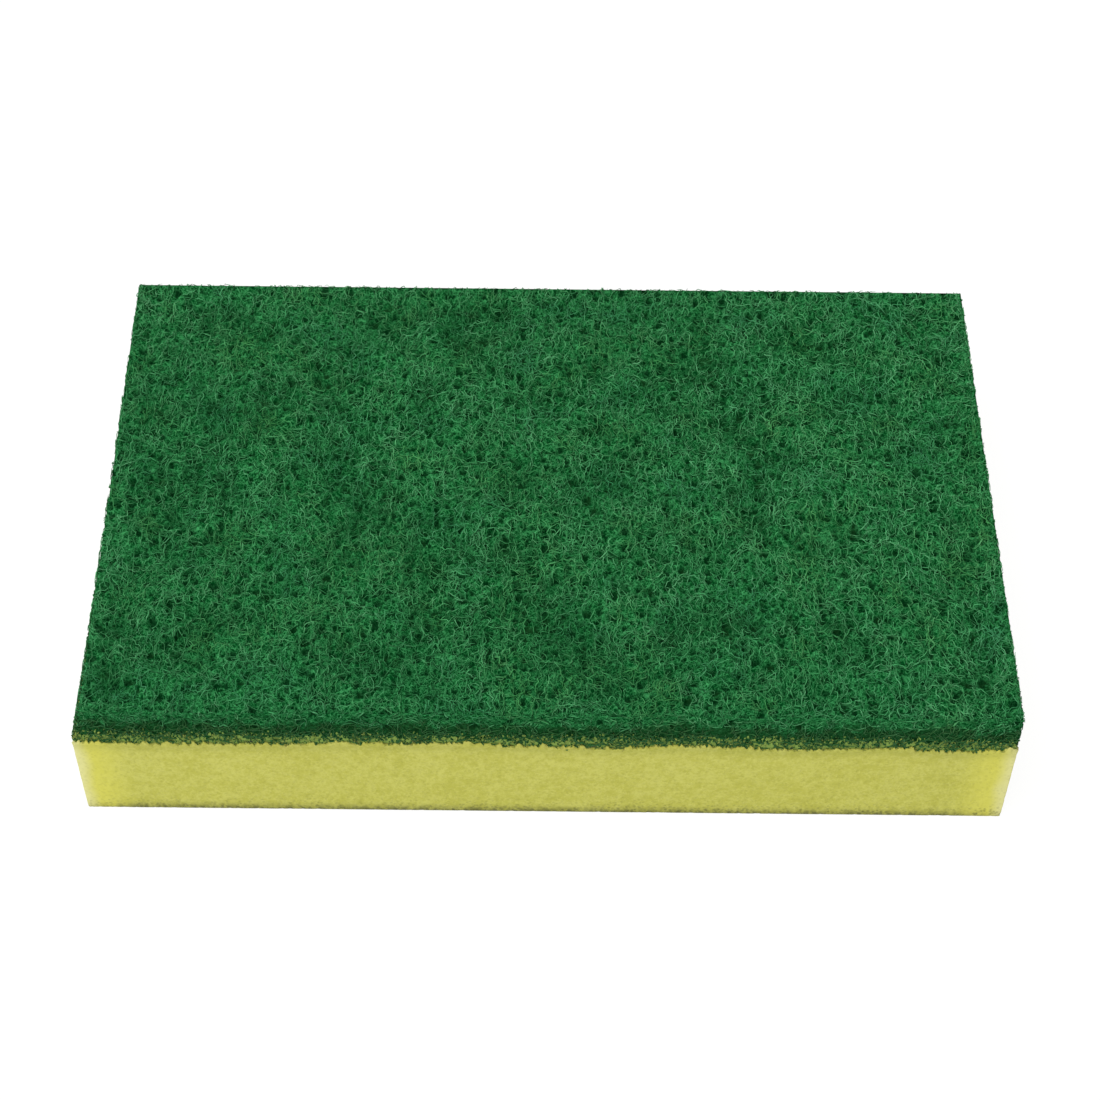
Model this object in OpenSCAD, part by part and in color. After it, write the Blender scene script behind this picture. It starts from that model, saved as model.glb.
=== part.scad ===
// Scouring sponge: a foam block with a nonwoven scouring pad glued to its upper face.
// Millimetres, +Z up. The origin is under the middle of the block, on its base.

/* [Sponge] */
// Length of the block and of the pad, along X
sponge_l = 140; // [90:1:160]
// Width of the block and of the pad, along Y
sponge_w = 90; // [60:1:110]

/* [Foam block] */
// Thickness of the foam, up to the middle of the waves in its glued face
foam_t = 17.2; // [8:0.1:40]

/* [Glued face] */
// Thickness of the glue film
glue_t = 0.3; // [0.1:0.05:0.8]
// Height of the waves, above and below their middle
bond_wave = 0.4; // [0:0.05:0.6]
// Mean length of the waves, which are longer at the left and shorter at the right
bond_pitch = 39; // [25:1:80]
// Height of the small steps where clumps of fibre were pressed into the foam
bond_step = 0.3; // [0:0.05:0.4]

/* [Scouring pad] */
// Thickness of the pad, from the glue to the tops of its clumps of fibre
pad_t = 7.5; // [5:0.1:12]
// Depth of the deepest hollows between the clumps
loft_depth = 1.2; // [0:0.05:1.5]
// Distance between the clumps
clump_pitch = 6.5; // [4:0.5:12]
// Height over which the web curls down at the pad's cut edges
edge_curl = 0.4; // [0:0.1:1]
// Depth of the ragged bites in the pad's cut sides
side_bite = 0.45; // [0:0.05:0.8]
// How far the pad's upper face is trimmed back at its front left corner
corner_trim = 1.6; // [0:0.1:3]

/* [Facets] */
// Length of one facet on the glued face, which is three facets of the scouring face
facet = 6; // [6:0.5:10]

/* [Hidden] */

foam_colour = [0.79, 0.78, 0.37];
glue_colour = [0.42, 0.37, 0.16];
pad_colour = [0.13, 0.38, 0.20];

// Facets of the glued face along X and Y
bond_nx = round(sponge_l / facet);
bond_ny = round(sponge_w / facet);
// The scouring face and the pad's sides have this many facets for each of those
refine = 3;
web_nx = bond_nx * refine;
web_ny = bond_ny * refine;
// Rows of facets up the pad's sides
side_rows = 3;

// The waves start at this point of their first turn, in degrees, and their crests slant across the block
wave_start = 58;
wave_slant = 0.35;
// Their crests lie closer in some places than in others: by how many degrees they are shifted at most,
// how many of these shifts go to one wave, and where the shifts start, in degrees
shift = 200;
shift_rate = 0.17;
shift_start = -95;
// The pad's upper face is this far inside its sides, where the web curls down
curl_inset = 0.5 * edge_curl;
// Share of the relief that comes from clouds of clumps, and share from single bunches of fibre
cloud_share = 0.3;
bunch_share = 0.35;
// Distance between those clouds
cloud_pitch = 2.7 * clump_pitch;
// Relief is full above the higher of these shares, where the face was pressed flat, and none below
// the lower one
pressed_from = 0.62;
hollow_to = 0.15;
// Share of a facet by which the points of the scouring face stray from a straight grid
stray = 0.22;
// The cutter that leaves the glued face reaches this far past the foam, sideways and up
cut_over = 2;

// Seeds of the separate patterns
step_seed = 1;
clump_seed = 2;
crowd_seed = 3;
bunch_seed = 4;
bite_seed = 5;
stray_x_seed = 6;
stray_y_seed = 7;

function mix(a, b, t) = a + (b - a) * t;
function ease(t) = t * t * (3 - 2 * t);
function clamp(v, lo, hi) = min(max(v, lo), hi);

// A number from 0 to 1 that looks random but is the same each time for the same i, j and seed:
// the digits of a sine that are left when its angle steps by uneven amounts
function chance(i, j, seed) =
    let (digits = 43758.5453 * sin(129.898 * i + 78.233 * j + 377.19 * seed))
    digits - floor(digits);

// Chances at the corners of squares of one pitch, blended smoothly in between
function cloud(x, y, pitch, seed) =
    let (
        i = floor(x / pitch),
        j = floor(y / pitch),
        s = ease(x / pitch - i),
        t = ease(y / pitch - j)
    )
    mix(
        mix(chance(i, j, seed), chance(i + 1, j, seed), s),
        mix(chance(i, j + 1, seed), chance(i + 1, j + 1, seed), s),
        t
    );

// The waves of the glued face, from -1 to 1, counted from the block's front edge
function wave(x, y) =
    let (
        turn = 360 / bond_pitch,
        back = y + sponge_w / 2
    )
    sin(
        turn * (x + wave_slant * back) + wave_start
            + shift * sin(shift_rate * turn * (x + back) + shift_start)
    );

// Height of the underside of the glue at x, y
function bond_z(x, y) = foam_t + bond_wave * wave(x, y);

// Corner i, j of the glued face's facets, raised by a given thickness of glue
function bond_point(i, j, raise) =
    let (
        x = sponge_l * (i / bond_nx - 0.5),
        y = sponge_w * (j / bond_ny - 0.5),
        step = bond_step * (chance(i, j, step_seed) - 0.5)
    )
    [x, y, bond_z(x, y) + step + raise];

// The same face with one more ring of facets, level and past the foam's sides
function cutter_point(i, j, raise) =
    let (
        ci = clamp(i, 0, bond_nx),
        cj = clamp(j, 0, bond_ny)
    )
    bond_point(ci, cj, raise) + cut_over * [sign(i - ci), sign(j - cj), 0];

// Plan of the pad at shares u, w of its length and width and v of its height:
// the left side leans in towards the front corner, and the whole plan shrinks by an inset
function pad_plan(u, w, v, inset) =
    let (left = -sponge_l / 2 + corner_trim * v * (1 - w))
    [
        mix(left + inset, sponge_l / 2 - inset, u),
        mix(-sponge_w / 2 + inset, sponge_w / 2 - inset, w)
    ];

// How far the clumps stand up at a point of the scouring face, from 0 to 1
function clumps(x, y, i, j) =
    let (
        clump = cloud(x, y, clump_pitch, clump_seed),
        crowd = cloud(x, y, cloud_pitch, crowd_seed),
        loft = mix(mix(clump, crowd, cloud_share), chance(i, j, bunch_seed), bunch_share)
    )
    clamp((loft - hollow_to) / (pressed_from - hollow_to), 0, 1);

function pad_top(x, y, i, j) = foam_t + glue_t + pad_t - loft_depth * (1 - clumps(x, y, i, j));

// Corner i, j of the scouring face's facets
function web_point(i, j) =
    let (
        rim = i == 0 || j == 0 || i == web_nx || j == web_ny,
        reach = rim ? 0 : stray,
        u = (i + reach * (2 * chance(i, j, stray_x_seed) - 1)) / web_nx,
        w = (j + reach * (2 * chance(i, j, stray_y_seed) - 1)) / web_ny,
        p = pad_plan(u, w, 1, curl_inset)
    )
    [p.x, p.y, pad_top(p.x, p.y, i, j) - (rim ? edge_curl : 0)];

// Corner k of a rectangle of nx by ny facets, counted anticlockwise round its rim, as [i, j]
function rim_step(k, nx, ny) =
    k <= nx ? [k, 0]
    : k <= nx + ny ? [nx, k - nx]
    : k <= 2 * nx + ny ? [2 * nx + ny - k, ny]
    : [0, 2 * (nx + ny) - k];

// Corner k of row r up the pad's sides, with ragged bites out of the cut web
function side_point(k, r) =
    let (
        s = rim_step(k, web_nx, web_ny),
        v = r / side_rows,
        p = pad_plan(s.x / web_nx, s.y / web_ny, v, side_bite * chance(k, r, bite_seed)),
        top = web_point(s.x, s.y)
    )
    [p.x, p.y, mix(bond_z(p.x, p.y) + glue_t, top.z, v)];

// Two triangles over square i, j of a grid, seen from above. Squares take turns with their diagonals
function square_up(a, b, c, d, i, j) =
    (i + j) % 2 == 0 ? [[a, d, c], [a, c, b]] : [[a, d, b], [b, d, c]];

function flipped(faces) = [for (f = faces) [f[2], f[1], f[0]]];

// The triangles over a grid of nx by ny squares whose points start at index first
function grid_up(nx, ny, first) = [
    for (j = [0 : ny - 1], i = [0 : nx - 1])
        let (a = first + j * (nx + 1) + i)
        each square_up(a, a + 1, a + nx + 2, a + nx + 1, i, j)
];

// A closed slab between two grids of points, each given by a function of i and j
module slab(nx, ny, lower, upper) {
    rim = 2 * (nx + ny);
    count = (nx + 1) * (ny + 1);
    function corner(k) = let (s = rim_step(k % rim, nx, ny)) s.y * (nx + 1) + s.x;
    polyhedron(
        points = [
            for (j = [0 : ny], i = [0 : nx]) lower(i, j),
            for (j = [0 : ny], i = [0 : nx]) upper(i, j)
        ],
        faces = [
            each flipped(grid_up(nx, ny, 0)),
            each grid_up(nx, ny, count),
            for (k = [0 : rim - 1])
                let (a = corner(k), b = corner(k + 1))
                each [[a, a + count, b + count], [a, b + count, b]]
        ]
    );
}

// Sawn on five sides, and uneven where the pad was pressed on
module foam_block() {
    color(foam_colour)
        difference() {
            translate([-sponge_l / 2, -sponge_w / 2, 0])
                cube([sponge_l, sponge_w, foam_t + cut_over]);
            slab(
                bond_nx + 2,
                bond_ny + 2,
                function (i, j) cutter_point(i - 1, j - 1, 0),
                function (i, j) cutter_point(i - 1, j - 1, 2 * cut_over)
            );
        }
}

// One film of set glue, of even thickness over the waves
module glue_film() {
    color(glue_colour)
        slab(
            bond_nx,
            bond_ny,
            function (i, j) bond_point(i, j, 0),
            function (i, j) bond_point(i, j, glue_t)
        );
}

// The web: its underside lies on the glue, its sides are ragged, and its face is clumps and hollows
module scouring_pad() {
    bond_rim = 2 * (bond_nx + bond_ny);
    web_rim = 2 * (web_nx + web_ny);
    side_first = (bond_nx + 1) * (bond_ny + 1);
    top_first = side_first + (side_rows - 1) * web_rim;

    // Index of corner k of the underside's rim, and of row r up the sides
    function under(k) = let (s = rim_step(k % bond_rim, bond_nx, bond_ny)) s.y * (bond_nx + 1) + s.x;
    function top(k) =
        let (s = rim_step(k % web_rim, web_nx, web_ny))
        top_first + s.y * (web_nx + 1) + s.x;
    function side(k, r) = r == side_rows ? top(k) : side_first + (r - 1) * web_rim + k % web_rim;

    color(pad_colour)
        polyhedron(
            points = [
                for (j = [0 : bond_ny], i = [0 : bond_nx]) bond_point(i, j, glue_t),
                for (r = [1 : side_rows - 1], k = [0 : web_rim - 1]) side_point(k, r),
                for (j = [0 : web_ny], i = [0 : web_nx]) web_point(i, j)
            ],
            faces = [
                each flipped(grid_up(bond_nx, bond_ny, 0)),
                each grid_up(web_nx, web_ny, top_first),
                // The lowest row joins one facet of the underside to each group of finer ones
                for (q = [0 : bond_rim - 1], n = [0 : refine - 1])
                    [under(q), side(q * refine + n, 1), side(q * refine + n + 1, 1)],
                for (q = [0 : bond_rim - 1])
                    [under(q), side((q + 1) * refine, 1), under(q + 1)],
                for (r = [1 : side_rows - 1], k = [0 : web_rim - 1])
                    each [
                        [side(k, r), side(k, r + 1), side(k + 1, r + 1)],
                        [side(k, r), side(k + 1, r + 1), side(k + 1, r)]
                    ]
            ]
        );
}

foam_block();
glue_film();
scouring_pad();
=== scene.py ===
"""Looks of the scouring sponge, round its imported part: sawn foam, set glue and a web of curled fibres."""

from __future__ import annotations

import logging
import math
from collections.abc import Callable
from dataclasses import dataclass
from enum import Enum

import bpy
import numpy as np
from mathutils import Matrix, Vector
from mathutils.bvhtree import BVHTree

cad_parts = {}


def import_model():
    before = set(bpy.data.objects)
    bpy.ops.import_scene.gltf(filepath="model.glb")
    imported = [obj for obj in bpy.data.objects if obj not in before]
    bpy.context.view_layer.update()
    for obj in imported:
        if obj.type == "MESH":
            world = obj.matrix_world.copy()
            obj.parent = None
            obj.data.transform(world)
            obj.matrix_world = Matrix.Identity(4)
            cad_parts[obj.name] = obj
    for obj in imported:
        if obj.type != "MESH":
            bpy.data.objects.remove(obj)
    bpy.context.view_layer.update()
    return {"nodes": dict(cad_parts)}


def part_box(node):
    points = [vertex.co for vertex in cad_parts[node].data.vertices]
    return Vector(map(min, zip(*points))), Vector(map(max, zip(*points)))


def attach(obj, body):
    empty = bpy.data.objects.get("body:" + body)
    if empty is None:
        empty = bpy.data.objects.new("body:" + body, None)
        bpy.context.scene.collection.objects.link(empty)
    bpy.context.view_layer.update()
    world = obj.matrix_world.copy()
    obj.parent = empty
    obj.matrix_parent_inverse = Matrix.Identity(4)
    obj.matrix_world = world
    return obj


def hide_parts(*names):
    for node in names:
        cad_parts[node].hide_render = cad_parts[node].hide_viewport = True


LOG = logging.getLogger("sponge")
MM = 0.001
BAKE_MAP = "OFBake"

Colour = tuple[float, float, float]
Place = Callable[[np.ndarray, np.ndarray, np.ndarray], np.ndarray]


def linear(red: int, green: int, blue: int) -> Colour:
    """The linear colour of a screen colour given from 0 to 255."""
    shares = (channel / 255 for channel in (red, green, blue))
    return tuple(s / 12.92 if s <= 0.04045 else ((s + 0.055) / 1.055) ** 2.4 for s in shares)


def blend(first: Colour, second: Colour, share: float) -> Colour:
    """A colour between two, nearer the second as the share goes from 0 to 1."""
    return tuple(a + (b - a) * share for a, b in zip(first, second))


def linked(name: str, data: bpy.types.ID) -> bpy.types.Object:
    """A new object in the scene.

    Args:
        name: its name.
        data: its mesh, lamp or camera.

    Returns:
        The object.
    """
    made = bpy.data.objects.new(name, data)
    bpy.context.scene.collection.objects.link(made)
    return made


def store(mesh: bpy.types.Mesh, name: str, domain: str, values: np.ndarray) -> None:
    """Store a number for each face or each point of a mesh."""
    mesh.attributes.new(name, "FLOAT", domain).data.foreach_set("value", values.astype(np.float32))


class Signal:
    """A node's output. Arithmetic on it adds Math nodes, or Vector Math nodes where a vector takes part."""

    def __init__(self, tree: Tree, socket: bpy.types.NodeSocket) -> None:
        """Wrap one output socket.

        Args:
            tree: the tree that the socket belongs to.
            socket: the output socket.
        """
        self.tree = tree
        self.socket = socket

    @property
    def is_vector(self) -> bool:
        """Whether the output holds three numbers."""
        return self.socket.type in ("VECTOR", "RGBA")

    def _join(self, operation: str, first: Operand, second: Operand) -> Signal:
        """One Math or Vector Math node on two operands.

        Args:
            operation: the node's operation.
            first: its first operand.
            second: its second operand.

        Returns:
            The node's result.
        """
        vector = any(isinstance(x, tuple) or (isinstance(x, Signal) and x.is_vector) for x in (first, second))
        kind = "ShaderNodeVectorMath" if vector else "ShaderNodeMath"
        return self.tree.node(kind, {"operation": operation}, {0: first, 1: second})

    def __add__(self, other: Operand) -> Signal:
        """Sum."""
        return self._join("ADD", self, other)

    def __radd__(self, other: Operand) -> Signal:
        """Sum, from the right."""
        return self._join("ADD", other, self)

    def __sub__(self, other: Operand) -> Signal:
        """Difference."""
        return self._join("SUBTRACT", self, other)

    def __rsub__(self, other: Operand) -> Signal:
        """Difference, from the right."""
        return self._join("SUBTRACT", other, self)

    def __mul__(self, other: Operand) -> Signal:
        """Product."""
        return self._join("MULTIPLY", self, other)

    def __rmul__(self, other: Operand) -> Signal:
        """Product, from the right."""
        return self._join("MULTIPLY", other, self)

    def __truediv__(self, other: Operand) -> Signal:
        """Quotient."""
        return self._join("DIVIDE", self, other)

    def __rtruediv__(self, other: Operand) -> Signal:
        """Quotient, from the right."""
        return self._join("DIVIDE", other, self)

    def __pow__(self, power: Operand) -> Signal:
        """Power of a number."""
        return self._join("POWER", self, power)

    def __abs__(self) -> Signal:
        """Size without sign."""
        return self._join("ABSOLUTE", self, 0.0)

    def low(self, other: Operand) -> Signal:
        """The lower of the two."""
        return self._join("MINIMUM", self, other)

    def high(self, other: Operand) -> Signal:
        """The higher of the two."""
        return self._join("MAXIMUM", self, other)

    def below(self, other: Operand) -> Signal:
        """1 where the number is lower than the other, and 0 elsewhere."""
        return self._join("LESS_THAN", self, other)

    def sign(self) -> Signal:
        """1 for a positive number and -1 for a negative one."""
        return self._join("SIGN", self, 0.0)

    def sine(self) -> Signal:
        """Sine of an angle."""
        return self._join("SINE", self, 0.0)

    def cosine(self) -> Signal:
        """Cosine of an angle."""
        return self._join("COSINE", self, 0.0)

    def cross(self, other: Operand) -> Signal:
        """Cross product of two vectors."""
        return self._join("CROSS_PRODUCT", self, other)

    def unit(self) -> Signal:
        """The vector at length one."""
        return self.tree.node("ShaderNodeVectorMath", {"operation": "NORMALIZE"}, {0: self})

    def length(self) -> Signal:
        """Length of the vector."""
        return self.tree.node("ShaderNodeVectorMath", {"operation": "LENGTH"}, {0: self}, "Value")

    def between(self, start: Operand, end: Operand) -> Signal:
        """Smooth share from 0 at start to 1 at end.

        Args:
            start: the value that gives 0.
            end: the value that gives 1, which may be the lower one.

        Returns:
            The share.
        """
        settings = {"interpolation_type": "SMOOTHSTEP"}
        values = {"Value": self, "From Min": start, "From Max": end, "To Min": 0.0, "To Max": 1.0}
        return self.tree.node("ShaderNodeMapRange", settings, values, "Result")

    def axis(self, name: str) -> Signal:
        """One component, X, Y or Z, of a vector."""
        return self.tree.node("ShaderNodeSeparateXYZ", {}, {"Vector": self}, name)


Operand = float | tuple | Signal


class Tree:
    """A node tree of either kind, with one method for any node."""

    def __init__(self, tree: bpy.types.NodeTree) -> None:
        """Wrap a node tree."""
        self.tree = tree

    def raw(self, kind: str, settings: dict[str, object], inputs: dict[str | int, object]) -> bpy.types.Node:
        """Add one node: its settings first, then the values or links of its sockets.

        Args:
            kind: the node's type.
            settings: properties of the node.
            inputs: for a socket's name or number, a value, a Signal, or a list of Signals.

        Returns:
            The node.
        """
        node = self.tree.nodes.new(kind)
        for name, value in settings.items():
            setattr(node, name, value)
        for name, value in inputs.items():
            socket = self._socket(node, name)
            for item in value if isinstance(value, list) else [value]:
                if isinstance(item, Signal):
                    self.tree.links.new(item.socket, socket)
                else:
                    self._set_value(socket, item)
        return node

    def node(
        self,
        kind: str,
        settings: dict[str, object],
        inputs: dict[str | int, object],
        output: str | int = 0,
    ) -> Signal:
        """Add one node and return one of its outputs.

        Args:
            kind: the node's type.
            settings: properties of the node, set first.
            inputs: values or links of its sockets.
            output: name or number of the wanted output.

        Returns:
            That output.
        """
        node = self.raw(kind, settings, inputs)
        return self.output(node, output)

    def output(self, node: bpy.types.Node, output: str | int) -> Signal:
        """An output of a node, by name or by number among those in use.

        Args:
            node: the node.
            output: the output's name or number.

        Returns:
            The output.
        """
        outputs = [s for s in node.outputs if s.enabled]
        found = outputs[output] if isinstance(output, int) else next(s for s in outputs if s.name == output)
        return Signal(self, found)

    def vector(self, x: Operand, y: Operand, z: Operand) -> Signal:
        """Three numbers joined to one vector."""
        return self.node("ShaderNodeCombineXYZ", {}, {"X": x, "Y": y, "Z": z})

    def colour_mix(self, share: Operand, first: Signal | Colour, second: Signal | Colour) -> Signal:
        """Blend of two colours.

        Args:
            share: 0 gives the first colour and 1 the second.
            first: the first colour.
            second: the second colour.

        Returns:
            The blended colour.
        """
        values = {"Factor": share, "A": first, "B": second}
        return self.node("ShaderNodeMix", {"data_type": "RGBA"}, values, "Result")

    def noise(
        self,
        where: Signal,
        size: Operand,
        detail: float = 2.0,
        rough: float = 0.5,
        pattern: Operand | None = None,
        output: str | int = 0,
    ) -> Signal:
        """Smooth noise from 0 to 1.

        Args:
            where: the place.
            size: about how many metres its features are across.
            detail: how many finer scales are added.
            rough: the strength of each finer scale.
            pattern: which of many patterns, or None for the plain one.
            output: "Color" for three numbers in place of one.

        Returns:
            The noise.
        """
        values = {"Vector": where, "Scale": 1 / size, "Detail": detail, "Roughness": rough}
        if pattern is None:
            return self.node("ShaderNodeTexNoise", {"noise_dimensions": "3D"}, values, output)
        return self.node("ShaderNodeTexNoise", {"noise_dimensions": "4D"}, {**values, "W": pattern}, output)

    def cells(self, where: Signal, size: Operand) -> Signal:
        """Distance from the middle of the nearest cell, as a share of the cells' size in metres."""
        values = {"Vector": where, "Scale": 1 / size, "Randomness": 1.0}
        return self.node("ShaderNodeTexVoronoi", {"feature": "F1"}, values)

    def carried(self, name: str) -> Signal:
        """In a material, a number that the mesh carries under this name."""
        return self.node("ShaderNodeAttribute", {"attribute_name": name}, {}, "Fac")

    def bump(self, height: Signal, strength: float, distance: float) -> Signal:
        """The normal of a surface with this relief."""
        values = {"Strength": strength, "Distance": distance, "Height": height}
        return self.node("ShaderNodeBump", {}, values, "Normal")

    @staticmethod
    def _socket(node: bpy.types.Node, name: str | int) -> bpy.types.NodeSocket:
        """An input of a node, by number, or by name among those in use.

        Args:
            node: the node.
            name: the input's name or number.

        Returns:
            The socket.
        """
        if isinstance(name, int):
            return node.inputs[name]
        return next(s for s in node.inputs if s.name == name and s.enabled)

    @staticmethod
    def _set_value(socket: bpy.types.NodeSocket, value: object) -> None:
        """Set a socket's own value, spread or padded to the socket's length.

        Args:
            socket: the socket.
            value: the value.
        """
        if socket.type == "VECTOR" and isinstance(value, (int, float)):
            value = (value, value, value)
        if socket.type == "RGBA" and isinstance(value, tuple) and len(value) == 3:
            value = (*value, 1.0)
        socket.default_value = value


class Recipe(Tree):
    """A Geometry Nodes tree with named inputs for its sizes, run once on an object."""

    def __init__(self, name: str) -> None:
        """Start an empty tree that takes a mesh and gives one.

        Args:
            name: the tree's name.
        """
        super().__init__(bpy.data.node_groups.new(name, "GeometryNodeTree"))
        self.values: dict[str, object] = {}
        sockets = self.tree.interface
        sockets.new_socket("Geometry", in_out="INPUT", socket_type="NodeSocketGeometry")
        sockets.new_socket("Geometry", in_out="OUTPUT", socket_type="NodeSocketGeometry")
        self.entry = self.tree.nodes.new("NodeGroupInput")

    @property
    def mesh(self) -> Signal:
        """The mesh of the object that the tree runs on."""
        return Signal(self, self.entry.outputs["Geometry"])

    def size(self, name: str, value: float) -> Signal:
        """A named input for a length in metres, or for another number."""
        return self._input(name, value, "NodeSocketFloat")

    def count(self, name: str, value: int) -> Signal:
        """A named input for a whole number."""
        return self._input(name, value, "NodeSocketInt")

    def _input(self, name: str, value: object, kind: str) -> Signal:
        """Add a named input and keep its value for the modifier.

        Args:
            name: the input's name.
            value: its value.
            kind: its type of socket.

        Returns:
            The input, as the tree reads it.
        """
        socket = self.tree.interface.new_socket(name, in_out="INPUT", socket_type=kind)
        self.values[socket.identifier] = value
        return Signal(self, self.entry.outputs[name])

    @property
    def position(self) -> Signal:
        """The place of each point."""
        return self.node("GeometryNodeInputPosition", {}, {})

    @property
    def normal(self) -> Signal:
        """The direction that the surface faces."""
        return self.node("GeometryNodeInputNormal", {}, {})

    @property
    def fibre(self) -> Signal:
        """The number of the curve that a point lies on."""
        return self.node("GeometryNodeCurveOfPoint", {}, {}, "Curve Index")

    def along(self, measure: str) -> Signal:
        """The way along a curve: its Factor, from 0 to 1, or its Length, in metres."""
        return self.node("GeometryNodeSplineParameter", {}, {}, measure)

    def attribute(self, name: str) -> Signal:
        """A number that the mesh carries under this name."""
        return self.node("GeometryNodeInputNamedAttribute", {"data_type": "FLOAT"}, {"Name": name})

    def random(self, low: float, high: float, seed: Operand, of: Signal | None = None) -> Signal:
        """Random numbers between two, one for each element or for each number of another output.

        Args:
            low: the lowest.
            high: the highest.
            seed: the seed.
            of: the other output, or None for one for each element.

        Returns:
            The random numbers.
        """
        values = {"Min": low, "Max": high, "Seed": seed}
        if of is not None:
            values["ID"] = of
        return self.node("FunctionNodeRandomValue", {"data_type": "FLOAT"}, values)

    def moved(self, shape: Signal, where: Signal) -> Signal:
        """The shape with each point moved to a place."""
        return self.node("GeometryNodeSetPosition", {}, {"Geometry": shape, "Position": where})

    def shifted(self, shape: Signal, by: Signal) -> Signal:
        """The shape with each point moved by an offset."""
        return self.node("GeometryNodeSetPosition", {}, {"Geometry": shape, "Offset": by})

    def marked(
        self, shape: Signal, name: str, value: Signal, kind: str = "FLOAT", on: str = "POINT"
    ) -> Signal:
        """The shape with one more named attribute.

        Args:
            shape: the shape.
            name: the attribute's name.
            value: its value.
            kind: its data type.
            on: the domain it is stored on.

        Returns:
            The shape with the attribute.
        """
        settings = {"data_type": kind, "domain": on}
        values = {"Geometry": shape, "Name": name, "Value": value}
        return self.node("GeometryNodeStoreNamedAttribute", settings, values)

    def finish(self, shape: Signal, material: bpy.types.Material) -> None:
        """End the tree: instances made real, one material, and the output.

        Args:
            shape: the finished shape.
            material: its material.
        """
        real = self.node("GeometryNodeRealizeInstances", {}, {"Geometry": shape})
        dressed = self.node("GeometryNodeSetMaterial", {}, {"Geometry": real, "Material": material})
        self.raw("NodeGroupOutput", {}, {"Geometry": dressed})

    def run(self, piece: bpy.types.Object) -> None:
        """Run the tree on an object and leave the result as its plain mesh.

        Args:
            piece: the object, whose mesh the tree takes.
        """
        modifier = piece.modifiers.new("recipe", "NODES")
        modifier.node_group = self.tree
        for identifier, value in self.values.items():
            modifier[identifier] = value
        graph = bpy.context.evaluated_depsgraph_get()
        mesh = bpy.data.meshes.new_from_object(
            piece.evaluated_get(graph), preserve_all_data_layers=True, depsgraph=graph
        )
        piece.modifiers.clear()
        old = piece.data
        piece.data = mesh
        mesh.name = piece.name
        bpy.data.meshes.remove(old)
        bpy.data.node_groups.remove(self.tree)


def emptied(owner: bpy.types.Material | bpy.types.World) -> Tree:
    """The node tree of a material or a world, with nothing in it yet.

    Args:
        owner: the material or the world.

    Returns:
        The tree.
    """
    owner.use_nodes = True
    owner.node_tree.nodes.clear()
    return Tree(owner.node_tree)


class Finish:
    """What all finishes share: a material with one Principled shader and its surface nodes."""

    title = "finish"

    def material(self) -> bpy.types.Material:
        """Make the material.

        Returns:
            The material, with its nodes linked.
        """
        made = bpy.data.materials.new(self.title)
        tree = emptied(made)
        where = tree.node("ShaderNodeTexCoord", {}, {}, "Object")
        shader = tree.node("ShaderNodeBsdfPrincipled", {}, self.surface(tree, where))
        tree.raw("ShaderNodeOutputMaterial", {}, {"Surface": shader})
        return made

    def surface(self, tree: Tree, where: Signal) -> dict[str, object]:
        """Values and links of the shader's sockets.

        Args:
            tree: the material's tree.
            where: the place on the piece.

        Returns:
            A value or a link for each socket that is set.
        """
        raise NotImplementedError


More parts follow.
